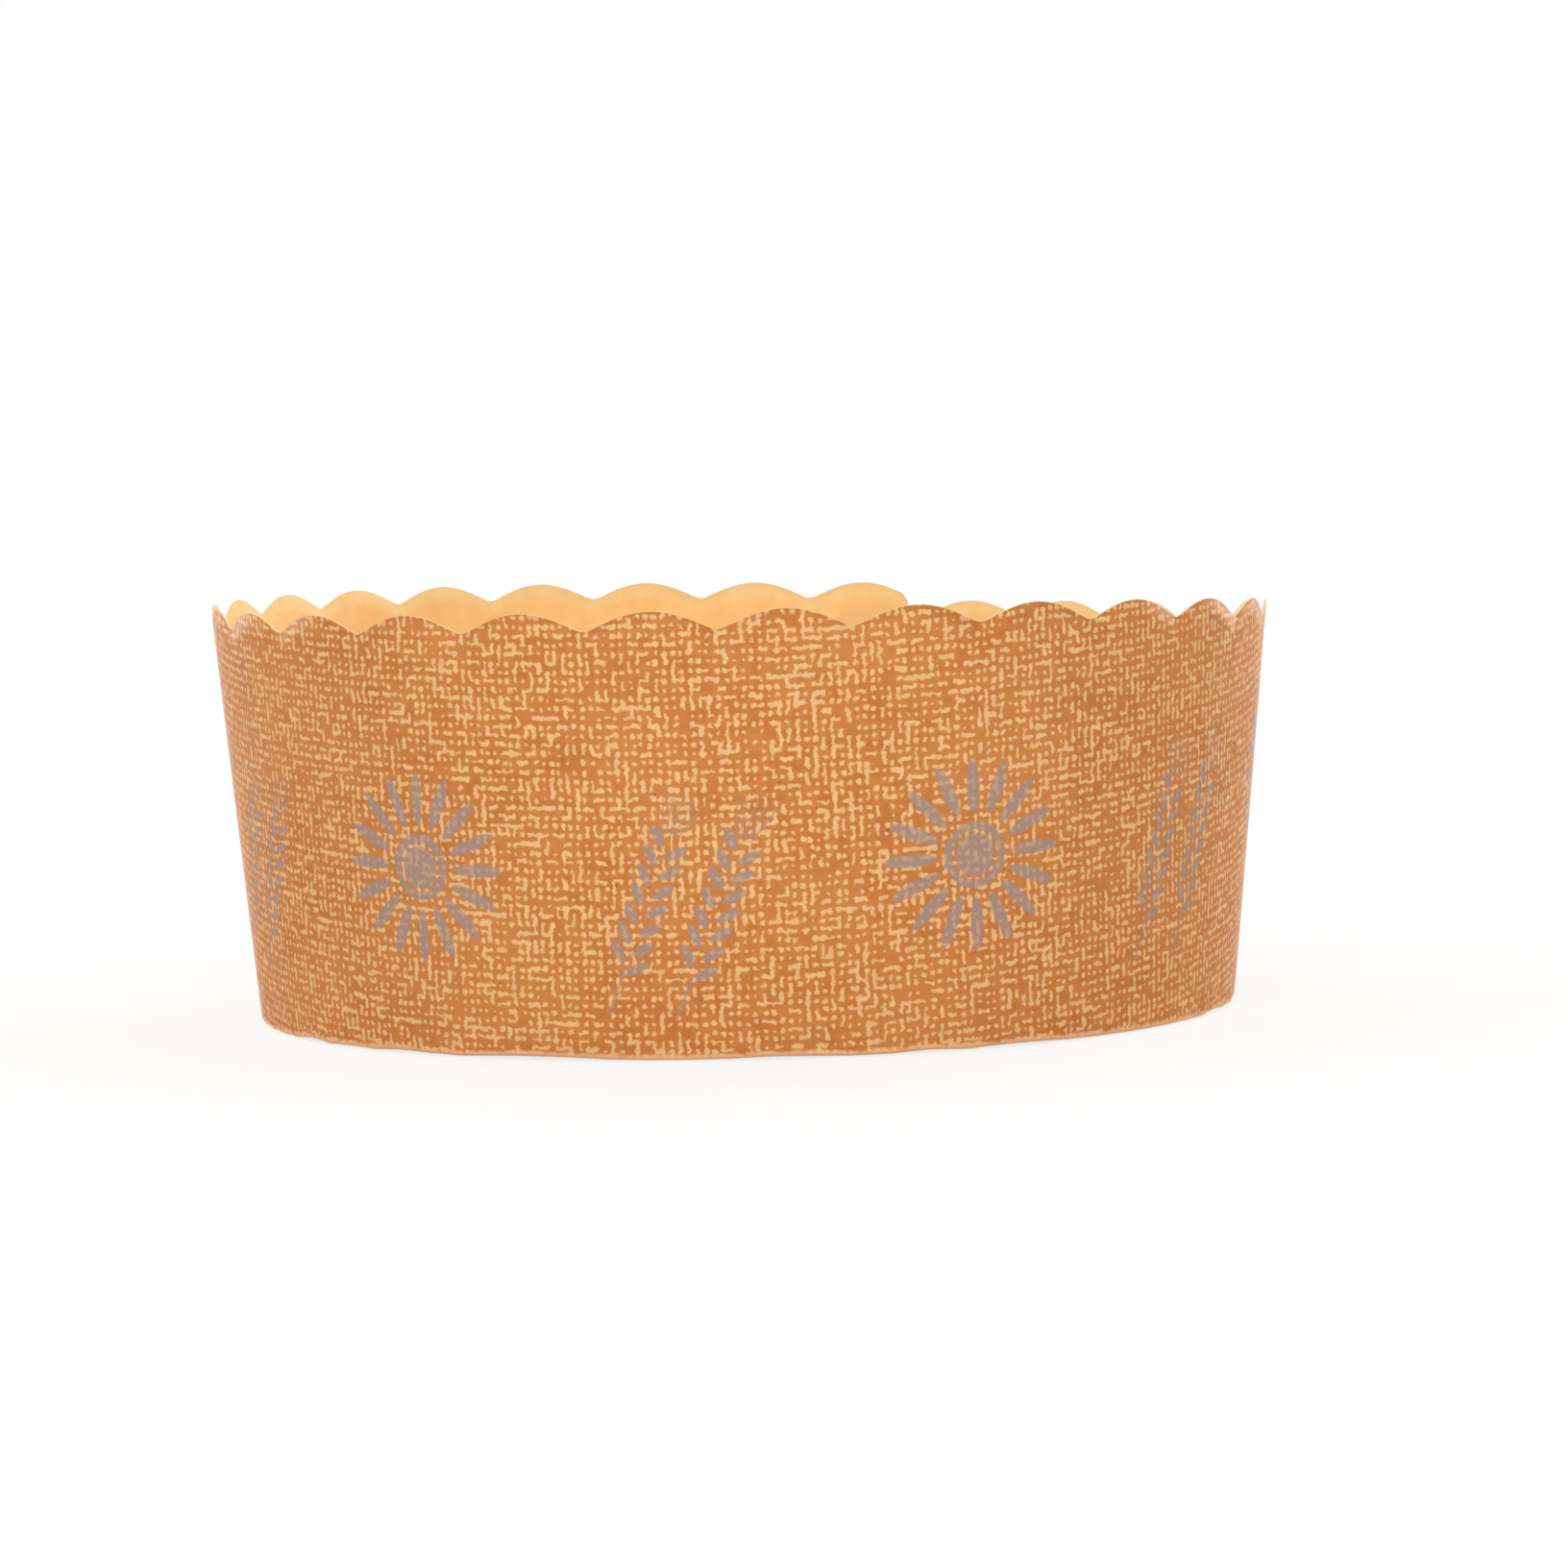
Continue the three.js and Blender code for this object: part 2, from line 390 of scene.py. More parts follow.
# Shares of the band below: where the plain face starts, how much it fills, and where the cut edges lie.
BAKE_PLAIN_START = 0.12
BAKE_PLAIN_FILL = 0.78
BAKE_EDGE_PLACE = 0.04


def bake_layout(position, slant, kind, faces):
    """Unit-square layout for baking: the printed face in strips one above the other, the rest below.

    Each corner takes its face's strip, so that strips don't join.
    """
    along = (position - position[0]) / (position[-1] - position[0])
    up = (slant - slant.min()) / (slant.max() - slant.min())
    columns, rows = slant.shape
    corner_column = (faces % (columns * rows)) // rows
    corner_row = faces % rows
    corner_along = along[corner_column]
    corner_up = up[corner_column, corner_row]
    strip = np.minimum((corner_along.min(axis=1) * BAKE_STRIPS).astype(int), BAKE_STRIPS - 1)[:, None]
    inner_width = 1.0 - 2.0 * BAKE_MARGIN
    band = BAKE_PRINT_SHARE / BAKE_STRIPS
    printed_u = BAKE_MARGIN + (corner_along * BAKE_STRIPS - strip) * inner_width * BAKE_STRIP_FILL
    printed_v = 1.0 - BAKE_PRINT_SHARE + band * (strip + BAKE_MARGIN + corner_up * (1.0 - 4.0 * BAKE_MARGIN))
    plain_u = BAKE_MARGIN + corner_along * inner_width
    low_band = 1.0 - BAKE_PRINT_SHARE
    plain_v = low_band * (BAKE_PLAIN_START + BAKE_PLAIN_FILL * corner_up)
    edge_v = low_band * BAKE_EDGE_PLACE
    is_printed = (kind == 0)[:, None]
    is_edge = (kind == 2)[:, None]
    u = np.where(is_printed, printed_u, plain_u)
    v = np.where(is_printed, printed_v, np.where(is_edge, edge_v, plain_v))
    return np.stack([u, v], axis=-1).reshape(-1, 2)


# Fades of the painted shade on the inner face behind the lap.
LAP_SHADE_FADE_ALONG = 0.6 * MM
LAP_SHADE_FADE_UP = 1.2 * MM


def lap_shade_share(shape, position, height):
    """1 on the inner face where the sheet's own end lies behind it, fading just past the lap: the share of
    painted shade there, as two layers let less light through.
    """
    along = (shape.sheet_start + shape.lap - position) / LAP_SHADE_FADE_ALONG
    behind = np.clip(along + 0.5, 0.0, 1.0)[:, None]
    other_rim = rim_height(shape, position + 2.0 * math.pi * shape.rim_radius)[:, None]
    below = np.clip((other_rim - height) / LAP_SHADE_FADE_UP + 0.5, 0.0, 1.0)
    return behind * below


def build_wall_mesh(shape, look):
    """The whole wall as one closed thick sheet, with its blank and bake maps and its materials."""
    position = column_positions(shape)
    outer, slant = wall_surface(shape, position, 0.0)
    inner, _ = wall_surface(shape, position, shape.paper)
    faces, kind = sheet_quads(*slant.shape)
    piece = add_mesh_object("paper_wall", np.stack([outer, inner]), faces.tolist(), kind != 2)
    mesh = piece.data

    blank = blank_coordinates(shape, look, position, slant).reshape(-1, 2)
    add_uv_map(mesh, "Blank", corner_values(mesh, np.concatenate([blank, blank])))
    add_uv_map(mesh, "OFBake", bake_layout(position, slant, kind, faces))

    # Painted shade on the inner face where the sheet's end lies behind it.
    backed = lap_shade_share(shape, position, inner[..., 2]).ravel()
    attribute = mesh.attributes.new("backed", "FLOAT", "POINT")
    attribute.data.foreach_set("value", np.concatenate([0.0 * backed, backed]).astype(np.float32))

    mesh.materials.append(printed_paper(look, apex_distance(shape)))
    mesh.materials.append(plain_paper(look, "Plain paper inside", True))
    mesh.materials.append(cut_edge(look))
    mesh.polygons.foreach_set("material_index", kind.astype(np.int32))
    mesh.update()
    return piece


# Shape of the bottom

BOTTOM_RINGS = 40
BOTTOM_SPOKES = 180


def build_bottom_mesh(shape, look):
    """The loose bottom: a thin closed disc whose two faces rise and fall a little towards the middle."""
    radius = 0.5 * (BOTTOM_HIGH[0] - BOTTOM_LOW[0])
    low, high = BOTTOM_LOW[2], BOTTOM_HIGH[2]
    turn = np.arange(BOTTOM_SPOKES) * 2.0 * math.pi / BOTTOM_SPOKES
    ring = np.linspace(1.0, 0.0, BOTTOM_RINGS + 1)[:-1]
    turns, rings = np.meshgrid(turn, ring, indexing="ij")
    sag = shape.bottom_bulge * (1.0 - rings ** 2) * (0.5 + 0.5 * np.sin(3.0 * turns + 5.0 * rings))

    def face(height, sign):
        return np.stack([radius * rings * np.sin(turns), -radius * rings * np.cos(turns),
                         height + sign * sag], axis=-1)

    top = face(high, -1.0)
    under = face(low, -1.0) + np.array([0.0, 0.0, 1.0]) * shape.bottom_bulge * (1.0 - rings[..., None] ** 2)
    count = BOTTOM_SPOKES * BOTTOM_RINGS
    index = np.arange(count).reshape(BOTTOM_SPOKES, BOTTOM_RINGS)
    after = np.roll(index, -1, axis=0)
    upper = np.stack([index[:, :-1], after[:, :-1], after[:, 1:], index[:, 1:]], -1).reshape(-1, 4)
    lower = upper[:, ::-1] + count
    side = np.stack([index[:, 0] + count, after[:, 0] + count, after[:, 0], index[:, 0]], -1)
    centre_top = 2 * count
    centre_under = centre_top + 1
    cap_top = np.stack([index[:, -1], after[:, -1], np.full(BOTTOM_SPOKES, centre_top)], -1)
    cap_under = np.stack([after[:, -1] + count, index[:, -1] + count,
                          np.full(BOTTOM_SPOKES, centre_under)], -1)
    centres = np.array([[0.0, 0.0, high - 0.5 * shape.bottom_bulge],
                        [0.0, 0.0, low + 0.5 * shape.bottom_bulge]])
    points = np.concatenate([top.reshape(-1, 3), under.reshape(-1, 3), centres])
    quads = np.concatenate([upper, lower, side]).tolist()
    triangles = np.concatenate([cap_top, cap_under]).tolist()
    parts = (upper, lower, side, cap_top, cap_under)
    smooth = np.concatenate([np.full(len(part), part is not side) for part in parts])
    piece = add_mesh_object("paper_bottom", points, quads + triangles, smooth)
    piece.data.materials.append(plain_paper(look, "Plain paper bottom", False))
    return piece


# Materials

class Field:
    """A number that varies over a surface: one output of a node tree, with arithmetic.

    Each method adds the nodes for its sum and gives their output as a new field.
    """

    def __init__(self, tree, socket):
        self.tree = tree
        self.socket = socket

    def apply(self, operation, *others):
        node = self.tree.nodes.new("ShaderNodeMath")
        node.operation = operation
        for slot, value in zip(node.inputs, (self,) + others):
            connect(self.tree, slot, value)
        return Field(self.tree, node.outputs[0])

    def __add__(self, other):
        return self.apply("ADD", other)

    def __sub__(self, other):
        return self.apply("SUBTRACT", other)

    def __mul__(self, other):
        return self.apply("MULTIPLY", other)

    def __truediv__(self, other):
        return self.apply("DIVIDE", other)

    def __rsub__(self, other):
        return self.apply("MULTIPLY", -1.0).apply("ADD", other)

    def floor(self):
        return self.apply("FLOOR")

    def round(self):
        return self.apply("ROUND")

    def abs(self):
        return self.apply("ABSOLUTE")

    def below(self, other):
        return self.apply("LESS_THAN", other)

    def above(self, other):
        return self.apply("GREATER_THAN", other)

    def most(self, other):
        return self.apply("MAXIMUM", other)

    def least(self, other):
        return self.apply("MINIMUM", other)

    def hypot(self, other):
        return (self * self + other * other).apply("SQRT")

    def ramp(self, low, high):
        """0 at low and 1 at high, smooth between."""
        node = self.tree.nodes.new("ShaderNodeMapRange")
        node.interpolation_type = "SMOOTHSTEP"
        connect(self.tree, node.inputs["Value"], self)
        connect(self.tree, node.inputs["From Min"], low)
        connect(self.tree, node.inputs["From Max"], high)
        return Field(self.tree, node.outputs["Result"])

    def inside(self, limit, soft):
        """1 below the limit and 0 above it, with a soft edge."""
        return 1.0 - (self - limit).ramp(-soft, soft)


def connect(tree, slot, value):
    """Link a field or a socket into a slot, or set the slot to a plain value."""
    if isinstance(value, Field):
        tree.links.new(value.socket, slot)
    elif isinstance(value, bpy.types.NodeSocket):
        tree.links.new(value, slot)
    else:
        slot.default_value = value


def vector(tree, x, y, z=0.0):
    """A vector from three numbers or fields."""
    node = tree.nodes.new("ShaderNodeCombineXYZ")
    for slot, value in zip(node.inputs, (x, y, z)):
        connect(tree, slot, value)
    return node.outputs[0]


def chance(tree, x, y, seed):
    """An even random number for each whole x and y."""
    node = tree.nodes.new("ShaderNodeTexWhiteNoise")
    node.noise_dimensions = "3D"
    connect(tree, node.inputs["Vector"], vector(tree, x, y, seed))
    return Field(tree, node.outputs["Value"])


def cloud(tree, place, scale, detail=2.0, roughness=0.5):
    """Smooth noise about 0.5 at a place."""
    node = tree.nodes.new("ShaderNodeTexNoise")
    connect(tree, node.inputs["Vector"], place)
    node.inputs["Scale"].default_value = scale
    node.inputs["Detail"].default_value = detail
    node.inputs["Roughness"].default_value = roughness
    return Field(tree, node.outputs["Fac"])


def mix_colour(tree, factor, first, second):
    """Colour between two colours or colour sockets."""
    node = tree.nodes.new("ShaderNodeMix")
    node.data_type = "RGBA"
    connect(tree, node.inputs[0], factor)
    for slot, value in ((node.inputs[6], first), (node.inputs[7], second)):
        connect(tree, slot, value if isinstance(value, bpy.types.NodeSocket) else (*value, 1.0))
    return node.outputs[2]


def new_material(name, roughness, gloss):
    """A material with an empty principled surface."""
    material = bpy.data.materials.new(name)
    material.use_nodes = True
    tree = material.node_tree
    surface = tree.nodes["Principled BSDF"]
    surface.inputs["Roughness"].default_value = roughness
    surface.inputs["Specular IOR Level"].default_value = gloss
    return material, tree, surface


def blank_fields(tree):
    """Across and up the flat blank in millimetres, and the raw vector."""
    node = tree.nodes.new("ShaderNodeUVMap")
    node.uv_map = "Blank"
    split = tree.nodes.new("ShaderNodeSeparateXYZ")
    tree.links.new(node.outputs["UV"], split.inputs[0])
    return Field(tree, split.outputs["X"]), Field(tree, split.outputs["Y"]), node.outputs["UV"]


def add_bump(tree, surface, height, distance, strength):
    """Small relief from a field."""
    node = tree.nodes.new("ShaderNodeBump")
    node.inputs["Strength"].default_value = strength
    node.inputs["Distance"].default_value = distance
    connect(tree, node.inputs["Height"], height)
    tree.links.new(node.outputs["Normal"], surface.inputs["Normal"])


# The printed weave: its flecks' soft edge in millimetres, and the spread of a link's slant and width.
FLECK_SOFT = 0.1
LINK_SLANT = 0.6
LINK_WIDTH_SPREAD = 0.16

# The share of lattice cells with a link: the least, and what the lie of the area and its density add.
LINK_LEAST = 0.07
LINK_BY_LIE = 0.18
LINK_BY_DENSITY = 0.06

# Half widths of the links and radii of the dots before their random spread.
ALONG_HALF_WIDTH = 0.22
UPWARD_HALF_WIDTH = 0.2
THICK_SWING = 0.36
DOT_SHARE = 0.92
DOT_RADIUS = 0.19
DOT_SPREAD = 0.18
DOT_SHIFT = 0.3

# Seeds that keep the random numbers of different uses apart.
ALONG_SEED, UPWARD_SEED = 3.0, 53.0
DOT_SEED, DOT_RADIUS_SEED, DOT_ASIDE_SEED, DOT_ABOVE_SEED = 11.0, 17.0, 21.0, 22.0
SPECK_SEED, SPECK_ASIDE_SEED, SPECK_ABOVE_SEED = 37.0, 31.0, 32.0


def thread_link(tree, cell_x, cell_y, run, off, half_width, link_share, seed):
    """A dash along one side of a lattice cell: there by chance, with a slant and a width of its own."""
    slant = (chance(tree, cell_x, cell_y, seed + 1.0) - 0.5) * LINK_SLANT
    width = (chance(tree, cell_x, cell_y, seed + 2.0) - 0.5) * LINK_WIDTH_SPREAD + half_width
    there = chance(tree, cell_x, cell_y, seed).below(link_share)
    return there * (off + run * slant).abs().inside(width, FLECK_SOFT)


# The warp of the printed grid: each noise's scale for a millimetre, its detail and its whole swing.
WARP_NOISES = ((0.5, 2.0, 0.6), (1.3, 1.0, 0.45), (3.1, 1.0, 0.42))


def warp(tree, place):
    """A shift of the printed grid in millimetres: a sum of noises, each finer than the one before."""
    shift = 0.0
    for scale, detail, swing in WARP_NOISES:
        shift = (cloud(tree, place, scale, detail) - 0.5) * swing + shift
    return shift


def weave_flecks(tree, look, x, y, place):
    """Bare flecks of a woven print: dots at the crossings of a grid, joined at random into dashes and hooks.

    The grid is warped by slow, fine and finer noise, so no edge is straight.  Slow noise makes some
    areas run along and others up, and a link is there where its own random number is low.
    """
    u = (x + warp(tree, place)) / look.thread_across
    v = (y + warp(tree, vector(tree, x + 71.0, y + 13.0))) / look.thread_up
    column, row = u.floor(), v.floor()
    near_column, near_row = u.round(), v.round()
    lie = cloud(tree, place, 0.09, 1.0).ramp(0.35, 0.65)
    dense = cloud(tree, vector(tree, x - 40.0, y), 0.07, 1.0).ramp(0.3, 0.7)
    along_share = lie * LINK_BY_LIE + LINK_LEAST + dense * LINK_BY_DENSITY
    up_share = (1.0 - lie) * LINK_BY_LIE + LINK_LEAST + dense * LINK_BY_DENSITY
    thick = (cloud(tree, place, 1.1, 2.0) - 0.5) * THICK_SWING
    off_row = (v - near_row) * look.thread_up
    off_column = (u - near_column) * look.thread_across
    run_row = (v - row - 0.5) * look.thread_up
    run_column = (u - column - 0.5) * look.thread_across
    along_width, upward_width = thick + ALONG_HALF_WIDTH, thick + UPWARD_HALF_WIDTH
    along = thread_link(tree, column, near_row, run_column, off_row, along_width, along_share, ALONG_SEED)
    upward = thread_link(tree, near_column, row, run_row, off_column, upward_width, up_share, UPWARD_SEED)
    aside = (chance(tree, near_column, near_row, DOT_ASIDE_SEED) - 0.5) * DOT_SHIFT + off_column
    above = (chance(tree, near_column, near_row, DOT_ABOVE_SEED) - 0.5) * DOT_SHIFT + off_row
    radius = chance(tree, near_column, near_row, DOT_RADIUS_SEED) * DOT_SPREAD + thick + DOT_RADIUS
    there = chance(tree, near_column, near_row, DOT_SEED).below(DOT_SHARE)
    dot = there * aside.hypot(above).inside(radius, FLECK_SOFT)
    return along.most(upward).most(dot)


def thread_tone(tree, x, y):
    """Lightness of the printed threads: faint smooth streaks along the rows and up the columns."""
    stretch = 0.22
    along = cloud(tree, vector(tree, x * stretch, y), 0.8, 2.0)
    upward = cloud(tree, vector(tree, x, y * stretch + 31.0), 0.8, 2.0)
    return ((along + upward) * 0.5).ramp(0.36, 0.64)


def dark_specks(tree, x, y):
    """Sparse dark fibres in the paper: a small spot somewhere in a few cells of a coarse lattice."""
    size, radius, soft, cells_with_spot = 8.0, 0.16, 0.14, 0.14
    column, row = (x / size).floor(), (y / size).floor()
    aside = x / size - column - chance(tree, column, row, SPECK_ASIDE_SEED) * 0.8 - 0.1
    above = y / size - row - chance(tree, column, row, SPECK_ABOVE_SEED) * 0.8 - 0.1
    spot = (aside.hypot(above) * size).inside(radius, soft)
    return spot * chance(tree, column, row, SPECK_SEED).below(cells_with_spot)


def fold_highlight_band(tree, x, y, place, apex):
    """1 along the bottom fold and 0 away from it, with ragged edges: where the pale painted highlight goes.

    The slant height above the fold is the distance from the cone's apex, less the apex's own.
    """
    half_width, soft, raggedness = 0.7, 0.3, 1.4
    slant = x.hypot(y + apex) - apex
    ragged = (cloud(tree, place, 0.7, 3.0) - 0.5) * raggedness
    return (slant + ragged).abs().inside(half_width, soft)


def rosette(dx, dy):
    """A round flower ornament: a middle disc with a bare ring in it, and sixteen slender oval petals."""
    petals, petal_middle, half_long, half_wide = 16.0, 8.7, 3.4, 0.82
    middle_radius, ring_radius, ring_half_width = 4.2, 2.9, 0.2
    reach = dx.hypot(dy)
    ring = (reach - ring_radius).abs().inside(ring_half_width, 0.1)
    middle = reach.inside(middle_radius, 0.12) * (1.0 - ring)
    step = 2.0 * math.pi / petals
    cell = dy.apply("ARCTAN2", dx) / step
    off = (cell - cell.round()) * step * reach
    petal = ((reach - petal_middle) / half_long).hypot(off / half_wide).inside(1.0, 0.1)
    return middle.most(petal)


def wheat_ear(dx, dy, foot_x, foot_y, lean_angle):
    """An ear of wheat: two rows of tilted oval kernels up a stem, with fine awns over the top.

    The ear's own axes are turned by its lean; a kernel repeats at an even pitch up the ear.
    """
    pitch, kernels, half_long, half_wide, spread, tilt = 2.55, 7.0, 1.55, 0.62, 1.45, 0.75
    px, py = dx - foot_x, dy - foot_y
    side = px * math.cos(lean_angle) - py * math.sin(lean_angle)
    up = px * math.sin(lean_angle) + py * math.cos(lean_angle)
    kernel_rows = []
    for sign, shift in ((1.0, 0.0), (-1.0, 0.5)):
        step = up / pitch - shift
        cell = step.floor().most(0.0).least(kernels - 1.0)
        along = (step - cell - 0.5) * pitch
        off = side * sign - spread
        a = along * math.cos(tilt) + off * math.sin(tilt)
        b = off * math.cos(tilt) - along * math.sin(tilt)
        kernel_rows.append((a / half_long).hypot(b / half_wide).inside(1.0, 0.1))
    stem_half_width, stem_top, stem_foot = 0.16, 0.5, -5.5
    above_foot = 1.0 - up.inside(stem_foot, 0.2)
    stem = side.abs().inside(stem_half_width, 0.08) * up.inside(stem_top, 0.2) * above_foot
    awns = ear_awns(side, up, pitch * kernels)
    return kernel_rows[0].most(kernel_rows[1]).most(stem).most(awns)


def ear_awns(side, up, top):
    """Five fine straight awns that fan out from a point inside the ear and end in an arch above its top."""
    root_depth, step, half_width, fan_limit, reach = 2.5, 0.16, 0.1, 2.4, 6.2
    spread_out = (up - top + root_depth).most(0.01)
    fan = side / spread_out / step
    off = ((fan - fan.round()) * step * spread_out).abs()
    hair = off.inside(half_width, 0.07) * fan.abs().inside(fan_limit, 0.1)
    return hair * (1.0 - up.inside(top + 0.7, 0.2)) * (up + fan.abs() * 0.5).inside(top + reach, 0.5)


# The two ears of an ornament: the foot's place across and up from its middle, and the lean in radians.
EARS = ((-8.6, -12.4, 0.37), (0.0, -13.0, 0.39))


def motif_mask(look, x, y):
    """Ornaments at an even spacing, ears and rosettes by turns, each row shifted by one place."""
    row = ((y - look.motif_height) / look.motif_row).round()
    dy = y - look.motif_height - row * look.motif_row
    slot = (x - look.motif_start) / look.motif_spacing
    place = slot.round()
    dx = (slot - place) * look.motif_spacing
    count = place + row
    odd = (count * 0.5 - (count * 0.5).floor()).above(0.25)
    flower = rosette(dx, dy) * odd
    ears = wheat_ear(dx, dy, *EARS[0]).most(wheat_ear(dx, dy, *EARS[1]))
    return flower.most(ears * (1.0 - odd))


# The printed face: its gloss, and the pale sheen of its fibres at a low angle.
PRINT_GLOSS = 0.04
SHEEN_WEIGHT = 0.62
SHEEN_ROUGHNESS = 0.12
SHEEN_TINT = (1.0, 0.9, 0.84, 1.0)

# Height of the paper's fibres, in metres.
FIBRE_RELIEF = 0.00006


def printed_paper(look, apex):
    """Matt kraft paper, overprinted with a woven ground and pale violet ornaments, with a painted highlight
    along its fold.
    """
    material, tree, surface = new_material("Printed kraft paper", 0.5, PRINT_GLOSS)
    surface.inputs["Sheen Weight"].default_value = SHEEN_WEIGHT
    surface.inputs["Sheen Roughness"].default_value = SHEEN_ROUGHNESS
    surface.inputs["Sheen Tint"].default_value = SHEEN_TINT
    x, y, place = blank_fields(tree)
    ground = mix_colour(tree, thread_tone(tree, x, y), look.deep_ink, look.pale_ink)
    ground = mix_colour(tree, 0.45, ground, look.ink)
    # Painted light: soft lighter patches stand in for light caught by slight dents and the fibres' sheen.
    painted_light_patches = cloud(tree, place, 0.045, 2.0).ramp(0.4, 0.65) * 0.5
    ground = mix_colour(tree, painted_light_patches, ground, look.pale_ink)
    flecks = weave_flecks(tree, look, x, y, place)
    fleck_tone = cloud(tree, place, 0.5, 2.0).ramp(0.3, 0.7)
    fleck = mix_colour(tree, fleck_tone, look.fleck, tuple(0.9 * part for part in look.fleck))
    printed = mix_colour(tree, flecks, ground, fleck)
    dark_ink = tuple(0.3 * part for part in look.ink)
    printed = mix_colour(tree, dark_specks(tree, x, y) * 0.6, printed, dark_ink)
    mask = motif_mask(look, x, y) * (flecks * -0.22 + 0.87)
    printed = mix_colour(tree, mask, printed, look.motif)
    # Painted highlight: a pale band along the bottom fold in place of the floor's reflection on it.
    printed = mix_colour(tree, fold_highlight_band(tree, x, y, place, apex) * 0.85, printed, look.fold_highlight)
    tree.links.new(printed, surface.inputs["Base Color"])
    fibres = cloud(tree, place, 1.6, 4.0, 0.65)
    connect(tree, surface.inputs["Roughness"], fibres * 0.16 + 0.42)
    add_bump(tree, surface, fibres, FIBRE_RELIEF, 0.35)
    return material


def plain_paper(look, name, on_blank):
    """Plain tan kraft paper with faint mottling, and painted shade where another layer lies behind it and
    lets less light through.

    The scale turns the noises' sizes, given for a millimetre, into those of the place's own unit.
    """
    material, tree, surface = new_material(name, 0.72, 0.3)
    if on_blank:
        place, scale = blank_fields(tree)[2], 1.0
    else:
        place, scale = tree.nodes.new("ShaderNodeTexCoord").outputs["Object"], 1.0 / MM
    mottle = cloud(tree, place, 0.16 * scale, 3.0, 0.6)
    base = mix_colour(tree, mottle.ramp(0.35, 0.7), look.inside, look.inside_dark)
    if on_blank:
        node = tree.nodes.new("ShaderNodeAttribute")
        node.attribute_name = "backed"
        # Painted shade: a darker inner face where two layers let less light through.
        dark = tuple(factor * part for factor, part in zip((0.9, 0.92, 0.97), look.inside_dark))
        base = mix_colour(tree, Field(tree, node.outputs["Fac"]) * 0.8, base, dark)
    tree.links.new(base, surface.inputs["Base Color"])
    fibres = cloud(tree, place, 1.4 * scale, 4.0, 0.65)
    connect(tree, surface.inputs["Roughness"], fibres * 0.14 + 0.64)
    add_bump(tree, surface, fibres, FIBRE_RELIEF, 0.3)
    return material


def cut_edge(look):
    """The paper's pale core along its cut edges, a little uneven in tone."""
    material, tree, surface = new_material("Cut paper edge", 0.85, 0.2)
    place = blank_fields(tree)[2]
    fibres = cloud(tree, place, 2.5, 2.0)
    base = mix_colour(tree, fibres, look.edge, tuple(0.88 * part for part in look.edge))
    tree.links.new(base, surface.inputs["Base Color"])
    return material


def seen_directly(tree):
    """1 for what the camera sees straight, in a gloss or through glass, and 0 for light on the object."""
    node = tree.nodes.new("ShaderNodeLightPath")
    camera = Field(tree, node.outputs["Is Camera Ray"])
    gloss = Field(tree, node.outputs["Is Glossy Ray"])
    glass = Field(tree, node.outputs["Is Transmission Ray"])
    return camera.most(gloss).most(glass)


# The floor turns plain white between these distances from its middle, in metres.
FLOOR_WHITE_START = 0.09
FLOOR_WHITE_END = 0.3

# The share of plain white in the floor nearer than that.
FLOOR_WHITE_NEAR = 0.8


def floor_material():
    """Pale floor that keeps the soft shadow near the cup and turns plain white further out."""
    material, tree, surface = new_material("Pale floor", 0.9, 0.1)
    surface.inputs["Base Color"].default_value = (0.9, 0.9, 0.9, 1.0)
    place = tree.nodes.new("ShaderNodeTexCoord").outputs["Object"]
    split = tree.nodes.new("ShaderNodeSeparateXYZ")
    tree.links.new(place, split.inputs[0])
    reach = Field(tree, split.outputs["X"]).hypot(Field(tree, split.outputs["Y"]))
    whiter = reach.ramp(FLOOR_WHITE_START, FLOOR_WHITE_END) * (1.0 - FLOOR_WHITE_NEAR)
    factor = (whiter + FLOOR_WHITE_NEAR) * seen_directly(tree)
    glow = tree.nodes.new("ShaderNodeEmission")
    blend = tree.nodes.new("ShaderNodeMixShader")
    connect(tree, blend.inputs[0], factor)
    tree.links.new(surface.outputs[0], blend.inputs[1])
    tree.links.new(glow.outputs[0], blend.inputs[2])
    tree.links.new(blend.outputs[0], tree.nodes["Material Output"].inputs["Surface"])
    return material


# Studio

FLOOR_RADIUS = 3.0
FLOOR_SIDES = 96
FLOOR_DROP = 0.0002

# Each area light: its name, its power's setting, its place and width in metres, and its tint.
AREA_LIGHTS = (
    ("Key light", "key_power", (-0.09, -1.1, 0.7), 0.8, (1.0, 0.99, 0.97)),
    ("Left light", "left_power", (-0.9, 0.92, 0.38), 0.6, (1.0, 0.97, 0.94)),
    ("Right light", "right_power", (0.9, 0.92, 0.38), 0.6, (1.0, 0.97, 0.94)),
    ("Top light", "top_power", (0.05, 0.25, 1.2), 0.9, (1.0, 1.0, 1.0)),
)


def build_floor():
    """A round flat floor just under the cup."""
    turn = np.arange(FLOOR_SIDES) * 2.0 * math.pi / FLOOR_SIDES
    rim = np.stack([FLOOR_RADIUS * np.cos(turn), FLOOR_RADIUS * np.sin(turn),
                    np.full(FLOOR_SIDES, WALL_LOW[2] - FLOOR_DROP)], axis=-1)
    mesh = bpy.data.meshes.new("pale_floor")
    mesh.from_pydata(rim.tolist(), [], [list(range(FLOOR_SIDES))])
    mesh.materials.append(floor_material())
    mesh.update()
    return add_object("pale_floor", mesh)


def build_world(studio):
    """Soft pale surroundings that look plain white to the camera."""
    world = bpy.data.worlds.new("Pale surroundings")
    world.use_nodes = True
    bpy.context.scene.world = world
    tree = world.node_tree
    background = tree.nodes["Background"]
    background.inputs["Color"].default_value = (1.0, 1.0, 1.0, 1.0)
    direct = seen_directly(tree)
    connect(tree, background.inputs["Strength"], direct * (1.0 - studio.ambient) + studio.ambient)


